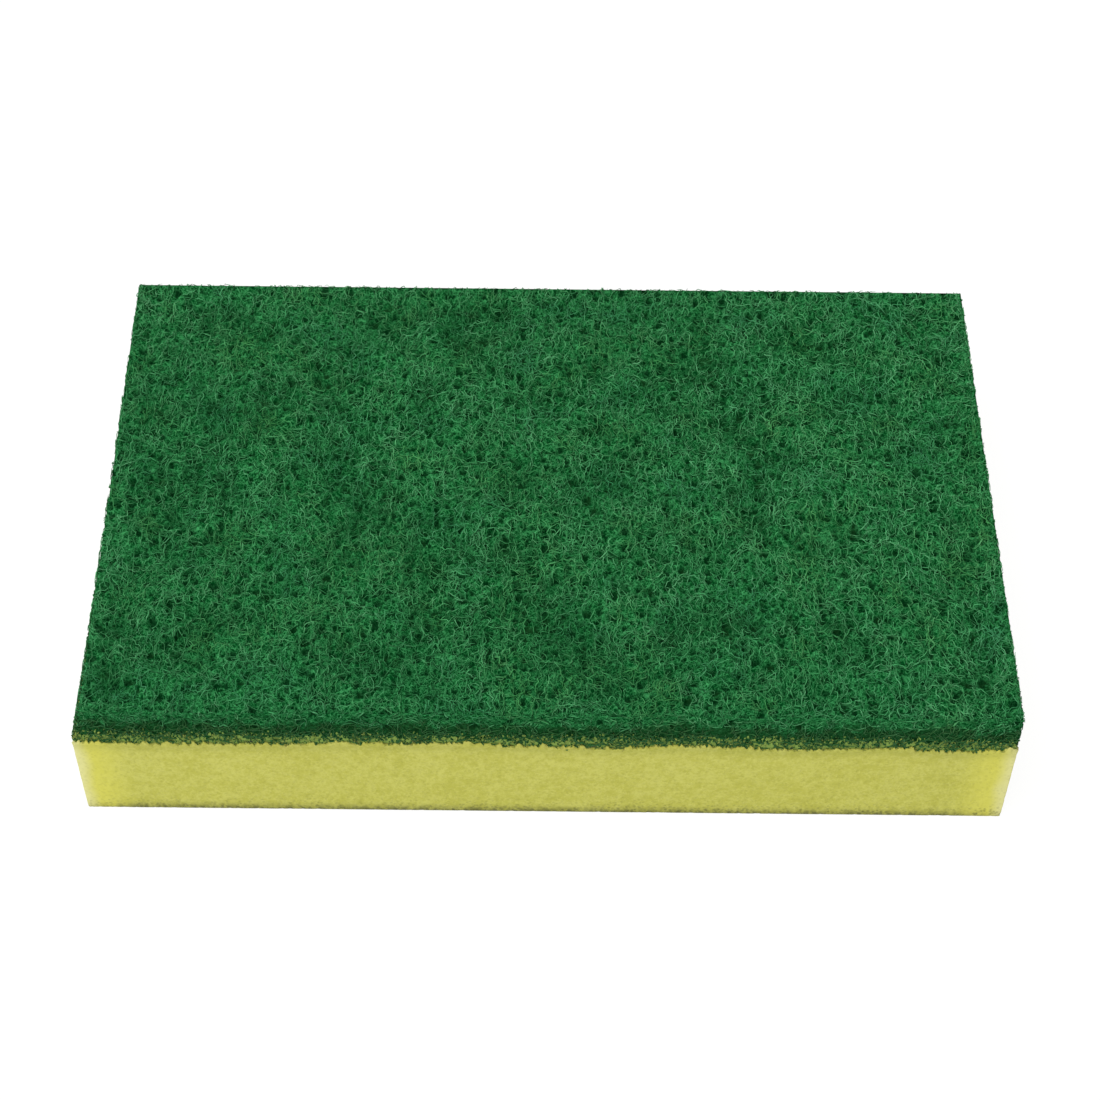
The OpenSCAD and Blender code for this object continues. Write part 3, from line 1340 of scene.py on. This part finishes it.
@dataclass
class WebCore:
    """The inside of the web: a dark body with the relief of the scouring face, under the outer fibres."""

    outline: WebOutline
    lower: Cover
    upper: Cover
    sole: Cover
    inset: float = 0.25 * MM
    lip_width: float = 1.2 * MM
    lip_sunk: float = 0.3 * MM
    wide_depth: float = 0.9 * MM
    unevenness: float = 0.6 * MM
    rough_size: float = 0.9 * MM
    side_depth: float = 0.35 * MM
    columns: int = 47
    lines: int = 30
    rows: int = 14
    split: int = 7
    bed_rows: int = 8
    bed_split: int = 4

    def place(self, u: np.ndarray, w: np.ndarray, v: np.ndarray) -> np.ndarray:
        """Points of the body.

        Args:
            u: shares of the length.
            w: shares of the width.
            v: shares of the height.

        Returns:
            The points.
        """
        left = -self.outline.half_length + self.outline.left_share(w, v) + self.inset
        right = self.outline.half_length - self.inset
        front = -self.outline.half_width + self.inset
        x = left + (right - left) * u
        y = front * (1 - 2 * w)
        inside = np.minimum(self.outline.half_length - abs(x), self.outline.half_width - abs(y)) - self.inset
        lip = np.clip(1 - inside / self.lip_width, 0, 1)
        low = self.lower.at(x, y) * (1 - lip) + self.sole.at(x, y) * lip
        outer = self.outline.outer
        high = self.upper.at(x, y) - outer + lip * (outer - self.lip_sunk)
        return np.stack([x, y, low + v * (high - low)], 1)

    def build(self, material: bpy.types.Material) -> bpy.types.Object:
        """Make the body.

        Args:
            material: the deep web's material.

        Returns:
            The finished piece.
        """
        piece = self._slab("web_core", self.rows, self.split)
        self._atlas(piece)
        recipe = Recipe("web_relief")
        wide_depth = recipe.size("Hole depth", self.wide_depth)
        uneven = recipe.size("Unevenness", self.unevenness)
        side_depth = recipe.size("Hole depth in the sides", self.side_depth)
        where = recipe.position
        up = recipe.attribute("up").between(0.6, 1.0)
        cut = recipe.attribute("cut").between(0.6, 1.0)
        rough = recipe.noise(where, self.rough_size) - 0.5
        down = Pores(True).darkness(recipe, where) * wide_depth + rough * uneven
        inwards = Pores(False).darkness(recipe, where) * side_depth + abs(rough) * uneven
        shift = recipe.vector(0.0, 0.0, down * up * -1.0) + recipe.normal * (inwards * cut * -1.0)
        recipe.finish(recipe.shifted(recipe.mesh, shift), material)
        recipe.run(piece)
        return piece

    def bed(self) -> bpy.types.Object:
        """Make a smooth copy of the body, which the fibres are laid on and which is removed afterwards."""
        return self._slab("web_bed", self.bed_rows, self.bed_split)

    def _slab(self, name: str, rows: int, split: int) -> bpy.types.Object:
        """The body as a slab, with its upper face and its sides split alike."""
        return Slab(name, self.columns, self.lines, rows, split, 1, split, self.place).build()

    def _atlas(self, piece: bpy.types.Object) -> None:
        """Lay the body's map for baking, with its upper face at full size.

        Args:
            piece: the body, whose mesh still names the part of each face.
        """
        mesh = piece.data
        swap = {Part.LOWER.value: Part.UPPER.value, Part.UPPER.value: Part.LOWER.value}
        mesh["parts"] = [swap.get(p, p) for p in mesh["parts"]]
        shift = self.outline.foot - 1 * MM
        mesh.transform(Matrix.Translation((0, 0, -shift)))
        height = self.outline.head - shift
        Atlas(2 * self.outline.half_length, 2 * self.outline.half_width, height).lay(piece)
        mesh.transform(Matrix.Translation((0, 0, shift)))


class Bed(Enum):
    """Where a mat of fibres lies on the web's body."""

    FACE = "up"
    CUT = "cut"
    SEAM = "seam"


@dataclass
class FibreMat:
    """A mat of curled fibres on the web's body, each a thin tube that folds back at the pad's outline."""

    name: str
    bed: Bed
    outline: WebOutline
    fibres: int
    seed: int
    fibre_length: float
    radius: float
    points: int
    lowest: float = 0.0
    highest: float = 0.0
    loop: float = 0.5 * MM
    loop_pitch: float = 2.2 * MM
    curl_size: float = 0.95 * MM
    curl_reach: float = 1.0 * MM
    rise: float = 0.5 * MM
    slope: float = 3.2 * MM
    room: float = 0.25 * MM
    proud: float = 0.0
    drop: float = 0.5 * MM
    spread: float = 2.8 * MM
    crowding: float = 1.3
    lay: float = 0.0
    wander_size: float = 1.2 * MM
    body_margin: float = 0.06 * MM
    edge_zone: float = 0.5 * MM
    edge_curl: float = 0.25 * MM
    hollow: tuple[float, float] = (0.1 * MM, 1.1 * MM)
    full_push: float = 0.35 * MM
    map_edge: float = 0.12

    def build(self, body: bpy.types.Object, material: bpy.types.Material) -> bpy.types.Object:
        """Grow the mat on a copy of the body.

        Args:
            body: the smooth body of the web, which stays as it is.
            material: the fibres' material.

        Returns:
            The finished piece.
        """
        piece = linked(self.name, body.data.copy())
        chosen = piece.data.attributes[self.bed.value].data
        area = sum(face.area for face, mark in zip(piece.data.polygons, chosen) if mark.value > 0.5)
        self._tree(material, self.fibres / area).run(piece)
        return piece

    def _tree(self, material: bpy.types.Material, density: float) -> Recipe:
        """The tree that grows the mat.

        Args:
            material: the fibres' material.
            density: fibres for each square metre.

        Returns:
            The tree.
        """
        recipe = Recipe(self.name)
        length = recipe.size("Fibre length", self.fibre_length)
        radius = recipe.size("Fibre radius", self.radius)
        seed = recipe.count("Seed", self.seed)
        curves = self._strewn(recipe, length, density, seed)
        chance = self._chances(recipe, seed)
        where = self._curled(recipe, chance)
        if self.bed is not Bed.SEAM:
            open_web, push = Pores(self.bed is Bed.FACE).cleared(recipe, where)
            pushed = chance(17).between(0.75, 0.65)
            where = where + (open_web - where) * (pushed * 0.85 + 0.15)
            push = push * pushed
        if self.bed is Bed.FACE:
            where, painted_shade = self._draped(recipe, where, push, chance, radius)
        else:
            where, painted_shade = self._pressed(recipe, where, chance, radius)
        curves = recipe.moved(curves, where)
        # The share of painted shade is stored as the fibres' depth.
        curves = recipe.marked(curves, "depth", painted_shade)
        curves = recipe.marked(curves, "tint", chance(4))
        recipe.finish(self._tubes(recipe, curves, radius, chance(5)), material)
        return recipe

    def _chances(self, recipe: Recipe, seed: Signal) -> Callable[[int], Signal]:
        """A source of numbers from 0 to 1 that are the same all along one fibre.

        Args:
            recipe: the tree to work in.
            seed: the seed.

        Returns:
            The source, which gives one kind of numbers for each whole number.
        """
        fibre = recipe.fibre

        def chance(number: int) -> Signal:
            """The numbers of one kind."""
            return recipe.random(0.0, 1.0, seed + number * 7.0, fibre)

        return chance

    def _strewn(self, recipe: Recipe, length: Signal, density: float, seed: Signal) -> Signal:
        """Straight fibres strewn over the bed, turned in its plane: more lie across the pad and up its sides.

        Args:
            recipe: the tree to work in.
            length: the fibres' mean length.
            density: fibres for each square metre.
            seed: the seed.

        Returns:
            The fibres as curves.
        """
        selection = recipe.attribute(self.bed.value)
        count = recipe.size("Fibres for each square metre", density)
        scatter = recipe.raw(
            "GeometryNodeDistributePointsOnFaces",
            {"distribute_method": "RANDOM"},
            {"Mesh": recipe.mesh, "Selection": selection, "Density": count, "Seed": seed},
        )
        spin = recipe.random(0.0, math.tau, seed + 3.0)
        spin = spin + (spin * 2.0).sine() * recipe.size("Lay of the web across the pad", self.lay)
        turned = recipe.node("FunctionNodeEulerToRotation", {}, {"Euler": recipe.vector(0.0, 0.0, spin)})
        if self.bed is not Bed.FACE:
            values = {"Rotation": recipe.output(scatter, "Rotation"), "Rotate By": turned}
            turned = recipe.node("FunctionNodeRotateRotation", {"rotation_space": "LOCAL"}, values)
        stretch = recipe.random(0.6, 1.4, seed + 5.0)
        line = recipe.node(
            "GeometryNodeCurvePrimitiveLine",
            {"mode": "POINTS"},
            {"Start": recipe.vector(length * -0.5, 0.0, 0.0), "End": recipe.vector(length * 0.5, 0.0, 0.0)},
        )
        values = {"Curve": line, "Count": self.points}
        fibre = recipe.node("GeometryNodeResampleCurve", {"mode": "COUNT"}, values)
        strewn = recipe.node(
            "GeometryNodeInstanceOnPoints",
            {},
            {
                "Points": recipe.output(scatter, "Points"),
                "Instance": fibre,
                "Rotation": turned,
                "Scale": recipe.vector(stretch, 1.0, 1.0),
            },
        )
        return recipe.node("GeometryNodeRealizeInstances", {}, {"Geometry": strewn})

    def _curled(self, recipe: Recipe, chance: Callable[[int], Signal]) -> Signal:
        """Each fibre's points moved into loops of its own size, and along an uneven curl.

        Args:
            recipe: the tree to work in.
            chance: the source of the fibre's own numbers.

        Returns:
            The places on the curled fibres.
        """
        loop = recipe.size("Loop radius", self.loop)
        pitch = recipe.size("Loop pitch", self.loop_pitch)
        size = recipe.size("Curl size", self.curl_size)
        reach = recipe.size("Curl reach", self.curl_reach)
        where = recipe.position
        wide = loop * (chance(6) * 1.1 + 0.45)
        hand = (chance(7) - 0.5).sign()
        turns = recipe.along("Length") / (pitch * (chance(8) * 0.8 + 0.6)) + chance(9)
        angle = turns * math.tau * hand
        tilt = recipe.vector(chance(10) - 0.5, chance(11) - 0.5, chance(12) - 0.5)
        turn = recipe.vector(chance(13) - 0.5, chance(14) - 0.5, chance(15) - 0.5)
        first = tilt.unit()
        ring = first * (angle.cosine() * wide) + first.cross(turn).unit() * (angle.sine() * wide)
        curl = recipe.noise(where, size, 1.0, 0.4, chance(2) * 400.0, "Color")
        return where + ring + (curl - 0.5) * reach

    def _draped(
        self, recipe: Recipe, where: Signal, push: Signal, chance: Callable[[int], Signal], radius: Signal
    ) -> tuple[Signal, Signal]:
        """Points laid over the relief of the body, each fibre rising and diving through the outer web.

        Args:
            recipe: the tree to work in.
            where: the places.
            push: how far a hole pushed them.
            chance: the source of the fibre's own numbers.
            radius: the fibres' radius.

        Returns:
            The places on the relief, and how deep they lie in the web, from 0 to 1, with hollows and holes
            added, which the fibres' finish paints as shade.
        """
        lowest = recipe.size("Lowest", self.lowest)
        highest = recipe.size("Highest", self.highest)
        rise = recipe.size("Rise", self.rise)
        cover = recipe.size("Depth of the outer fibres", self.outline.outer)
        wander = recipe.noise(where, self.wander_size, 0.0, 0.5, chance(3) * 300.0)
        tall = where.axis("Z") - recipe.position.axis("Z")
        head = self.outline.head
        upper = recipe.vector(where.axis("X"), where.axis("Y"), head)
        inside, edge = self.outline.folded(recipe, upper, radius)
        over_body, _ = self.outline.folded(recipe, upper, self.room + self.body_margin)
        ray = recipe.raw(
            "GeometryNodeRaycast",
            {"mapping": "INTERPOLATED"},
            {
                "Target Geometry": recipe.mesh,
                "Source Position": over_body * (1.0, 1.0, 0.0) + (0.0, 0.0, 0.1),
                "Ray Direction": (0.0, 0.0, -1.0),
                "Ray Length": 0.2,
            },
        )
        level = head - self.outline.outer
        found = recipe.output(ray, "Is Hit")
        ground = (recipe.output(ray, "Hit Position").axis("Z") - level) * found + level
        slope = recipe.size("Rise over a fibre", self.slope)
        over = lowest + (highest - lowest) * chance(1) + tall * 1.2 + (wander - 0.5) * rise * 2.0
        over = over + (recipe.along("Factor") - 0.5) * (chance(16) - 0.5) * 2.0 * slope - push
        space = (ground + cover).low(head) - ground - radius
        over = abs(space - abs(space - over)).low(space)
        curl = edge.between(self.edge_zone, 0.0) * self.edge_curl
        # Fibres low in the web, in hollows of the relief and over holes get a larger share of painted shade.
        hollow = (level - ground).between(*self.hollow)
        in_hole = push.between(0.0, self.full_push) * over.between(cover, cover * 0.3) * 0.45
        painted_shade = over.between(cover * 0.85, cover * 0.05) * 0.65 + hollow * 0.32 + in_hole
        height = ground + over.high(radius * 0.5) - curl
        return recipe.vector(inside.axis("X"), inside.axis("Y"), height), painted_shade

    def _pressed(
        self, recipe: Recipe, where: Signal, chance: Callable[[int], Signal], radius: Signal
    ) -> tuple[Signal, Signal]:
        """Points kept in a thin layer along the cut sides, and at the joint spread over its height.

        Args:
            recipe: the tree to work in.
            where: the places.
            chance: the source of the fibre's own numbers.
            radius: the fibres' radius.

        Returns:
            The places in the layer, and how deep they lie in it, from 0 to 1, which the fibres' finish paints
            as shade.
        """
        room = recipe.size("Depth of the side layer", self.room)
        margin = radius - recipe.size("Proud", self.proud)
        z = where.axis("Z")
        if self.bed is Bed.SEAM:
            spread = recipe.size("Spread at the joint", self.spread)
            z = z + chance(3) ** self.crowding * spread - recipe.size("Drop", self.drop)
        top = self.outline.head - radius
        placed = recipe.vector(where.axis("X"), where.axis("Y"), top - abs(top - z))
        inside, edge = self.outline.folded(recipe, placed, margin, room)
        return inside, edge.between(margin, room)

    def _tubes(self, recipe: Recipe, curves: Signal, radius: Signal, chance: Signal) -> Signal:
        """Three-sided tubes round the fibres, thinner at their ends, with a map for baking.

        Args:
            recipe: the tree to work in.
            curves: the fibres.
            radius: the mean radius.
            chance: a number of the fibre's own.

        Returns:
            The tubes.
        """
        along = recipe.along("Factor")
        taper = 1.0 - abs(along * 2.0 - 1.0) ** 4.0 * 0.6
        notes = {"along": along, "fibre": recipe.fibre, "thick": taper * (chance * 0.7 + 0.65)}
        for name, value in notes.items():
            curves = recipe.marked(curves, name, value)
        ring = {"Resolution": 3, "Radius": radius}
        profile = recipe.node("GeometryNodeCurvePrimitiveCircle", {"mode": "RADIUS"}, ring)
        profile = recipe.marked(profile, "around", recipe.node("GeometryNodeInputIndex", {}, {}) * 0.5)
        thick = recipe.attribute("thick")
        values = {"Curve": curves, "Profile Curve": profile, "Scale": thick, "Fill Caps": True}
        tubes = recipe.node("GeometryNodeCurveToMesh", {}, values)
        across = math.ceil(math.sqrt(self.fibres * 1.08))
        number, along, around = (recipe.attribute(name) for name in ("fibre", "along", "around"))
        row = recipe.node("ShaderNodeMath", {"operation": "FLOOR"}, {0: (number + 0.5) / across})
        middle = 1.0 - abs(around * 2.0 - 1.0)
        along = along + (along - 0.5) * middle * 0.1
        cells = ((number - row * across, along), (row, around))
        room = 1 - 2 * self.map_edge
        flat = recipe.vector(*((cell + self.map_edge + share * room) / across for cell, share in cells), 0.0)
        tubes = recipe.marked(tubes, BAKE_MAP, flat, "FLOAT2", "CORNER")
        for name in (*notes, "around"):
            tubes = recipe.node("GeometryNodeRemoveAttribute", {}, {"Geometry": tubes, "Name": name})
        return recipe.node("GeometryNodeSetShadeSmooth", {}, {"Geometry": tubes, "Shade Smooth": True})


@dataclass
class Studio:
    """A pale floor, soft light from all round and above, and the camera."""

    lens: float = 77.61
    sensor: float = 36.0
    eye: tuple[float, float, float] = (0.35 * MM, -248.26 * MM, 304.52 * MM)
    yaw: float = math.radians(0.028)
    pitch: float = math.radians(49.968)
    roll: float = math.radians(0.6226)
    lamp_size: tuple[float, float] = (0.7, 0.5)
    lamp_place: tuple[float, float, float] = (-0.25, -0.2, 0.8)
    lamp_energy: float = 5.5
    fill_light: float = 0.65
    floor_reach: float = 3.0
    floor_grey: Colour = linear(236, 236, 236)
    floor_glow: float = 1.06
    glow_share: float = 0.86

    def camera(self) -> None:
        """Put the camera where it sees the sponge as it was seen."""
        data = bpy.data.cameras.new("camera")
        data.sensor_width = self.sensor
        data.lens = self.lens
        camera = linked("camera", data)
        right = Vector((math.cos(self.yaw), -math.sin(self.yaw), 0))
        level = Vector((math.sin(self.yaw), math.cos(self.yaw), 0)) * math.cos(self.pitch)
        ahead = level - Vector((0, 0, math.sin(self.pitch)))
        up = right.cross(ahead)
        side = right * math.cos(self.roll) + up * math.sin(self.roll)
        top = up * math.cos(self.roll) - right * math.sin(self.roll)
        turn = Matrix((side, top, -ahead)).transposed().to_4x4()
        camera.matrix_world = Matrix.Translation(self.eye) @ turn
        bpy.context.scene.camera = camera

    def lamps(self) -> None:
        """Hang one wide soft lamp above and behind the camera's left."""
        data = bpy.data.lights.new("softbox", "AREA")
        data.shape = "RECTANGLE"
        data.size, data.size_y = self.lamp_size
        data.energy = self.lamp_energy
        lamp = linked("softbox", data)
        lamp.location = self.lamp_place
        lamp.rotation_euler = (-Vector(self.lamp_place)).to_track_quat("-Z", "Y").to_euler()

    @staticmethod
    def _seen(tree: Tree) -> Signal:
        """1 for what the camera sees, straight or in a reflection, and 0 for what lights the object.

        Args:
            tree: the tree to work in.

        Returns:
            The number.
        """
        path = tree.raw("ShaderNodeLightPath", {}, {})
        straight = tree.output(path, "Is Camera Ray") + tree.output(path, "Is Glossy Ray")
        return (straight + tree.output(path, "Is Transmission Ray")).low(1.0)

    def world(self) -> None:
        """Surround the scene with even light, and show it as white."""
        world = bpy.data.worlds.new("studio")
        tree = emptied(world)
        strength = self._seen(tree) * (1 - self.fill_light) + self.fill_light
        light = tree.node("ShaderNodeBackground", {}, {"Color": (1.0, 1.0, 1.0), "Strength": strength})
        tree.raw("ShaderNodeOutputWorld", {}, {"Surface": light})
        bpy.context.scene.world = world

    def floor(self) -> bpy.types.Object:
        """Lay the floor, which shows almost white and keeps the sponge's shadow.

        Returns:
            The floor.
        """
        mesh = bpy.data.meshes.new("floor")
        near, far = -self.floor_reach, self.floor_reach
        corners = [(near, near, 0), (far, near, 0), (far, far, 0), (near, far, 0)]
        mesh.from_pydata(corners, [], [(0, 1, 2, 3)])
        material = bpy.data.materials.new("floor")
        tree = emptied(material)
        matt = tree.node("ShaderNodeBsdfDiffuse", {}, {"Color": self.floor_grey})
        glow = tree.node("ShaderNodeEmission", {}, {"Color": (1.0, 1.0, 1.0), "Strength": self.floor_glow})
        share = self._seen(tree) * self.glow_share
        mixed = tree.node("ShaderNodeMixShader", {}, {0: share, 1: matt, 2: glow})
        tree.raw("ShaderNodeOutputMaterial", {}, {"Surface": mixed})
        mesh.materials.append(material)
        return linked("floor", mesh)


def report(piece: bpy.types.Object) -> int:
    """Log a piece with its triangles.

    Args:
        piece: the piece.

    Returns:
        Its triangles.
    """
    triangles = sum(p.loop_total - 2 for p in piece.data.polygons)
    LOG.info("%s: %d triangles", piece.name, triangles)
    return triangles


def fibre_mats(outline: WebOutline) -> list[FibreMat]:
    """The mats of fibres that make the outside of the web.

    Args:
        outline: the outline of the pad.

    Returns:
        Three mats for the upper face, one for the cut sides, the fibre ends at the joint, and last the
        specks of foam there.
    """
    top = {
        "bed": Bed.FACE,
        "outline": outline,
        "fibres": 3140,
        "fibre_length": 3.4 * MM,
        "radius": 0.06 * MM,
        "points": 10,
        "loop": 0.28 * MM,
        "loop_pitch": 1.7 * MM,
        "lay": 0.45,
    }
    joint = {
        "bed": Bed.SEAM,
        "outline": outline,
        "points": 3,
        "curl_reach": 0.3 * MM,
        "loop": 0.1 * MM,
        "lay": 0.45,
    }
    return [
        FibreMat("web_top_a", seed=11, lowest=0.5 * MM, highest=0.9 * MM, **top),
        FibreMat("web_top_b", seed=12, lowest=0.3 * MM, highest=0.8 * MM, **top),
        FibreMat("web_top_c", seed=13, lowest=0.1 * MM, highest=0.7 * MM, **top),
        FibreMat(
            "web_sides",
            Bed.CUT,
            outline,
            fibres=2800,
            seed=15,
            fibre_length=2.6 * MM,
            radius=0.075 * MM,
            points=7,
            loop=0.35 * MM,
            lay=0.2,
        ),
        FibreMat(
            "web_seam",
            fibres=3000,
            seed=16,
            fibre_length=0.5 * MM,
            radius=0.13 * MM,
            proud=0.1 * MM,
            crowding=0.9,
            drop=0.75 * MM,
            spread=3.1 * MM,
            **joint,
        ),
        FibreMat(
            "foam_crumbs",
            fibres=1500,
            seed=17,
            fibre_length=0.35 * MM,
            radius=0.15 * MM,
            crowding=2.4,
            **joint,
        ),
    ]


def main() -> None:
    """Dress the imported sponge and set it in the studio."""
    logging.basicConfig(level=logging.INFO, format="%(message)s")
    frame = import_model()
    low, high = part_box("foam_block")
    length, width = high.x - low.x, high.y - low.y
    foot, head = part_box("glue_film")[1].z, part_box("scouring_pad")[1].z
    nodes = frame["nodes"]
    foam_top = Cover(nodes["foam_block"], length / 2, width / 2, pitch=1 * MM)
    glue_top = Cover(nodes["glue_film"], length / 2, width / 2, pitch=1 * MM)
    web_top = Cover(nodes["scouring_pad"], length / 2, width / 2, pitch=0.5 * MM)
    web_top.level_rim(height=head - 0.1 * MM, full=2 * MM, none=5 * MM)

    foam_look = SawnFoam(length / 2, width / 2).material()
    foam = FoamBlock(length, width, foam_top).build(foam_look)
    glue = GlueFilm(length, width, foam_top, glue_top).build(SetGlue().material())
    outline = WebOutline(length / 2, width / 2, foot, head)
    reach = GlueReach(foot)
    body = WebCore(outline, glue_top, web_top, foam_top)
    core = body.build(DeepWeb(reach, head - outline.outer).material())
    bed = body.bed()
    fibre = BondedFibre(reach, length / 2).material()
    dull = SawnFoam(
        length / 2,
        width / 2,
        yellow=linear(168, 184, 98),
        deep_yellow=linear(120, 146, 72),
        warm=linear(160, 176, 86),
        cream=linear(178, 184, 112),
    )
    *mats, crumb = fibre_mats(outline)
    web = [mat.build(bed, fibre) for mat in mats]
    crumbs = crumb.build(bed, dull.material())
    bpy.data.objects.remove(bed)

    total = sum(report(piece) for piece in [foam, crumbs, glue, core, *web])
    LOG.info("all pieces: %d triangles", total)
    slots = {"foam": [foam, crumbs], "glue": [glue], "scouring_fibre": [core, *web]}
    for piece, slot in ((piece, slot) for slot, pieces in slots.items() for piece in pieces):
        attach(piece, "root")
    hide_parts("foam_block")
    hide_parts("glue_film")
    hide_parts("scouring_pad")

    studio = Studio()
    studio.floor()
    studio.camera()
    studio.lamps()
    studio.world()
    bpy.context.scene.view_settings.view_transform = "Standard"


if __name__ == "__main__":
    main()
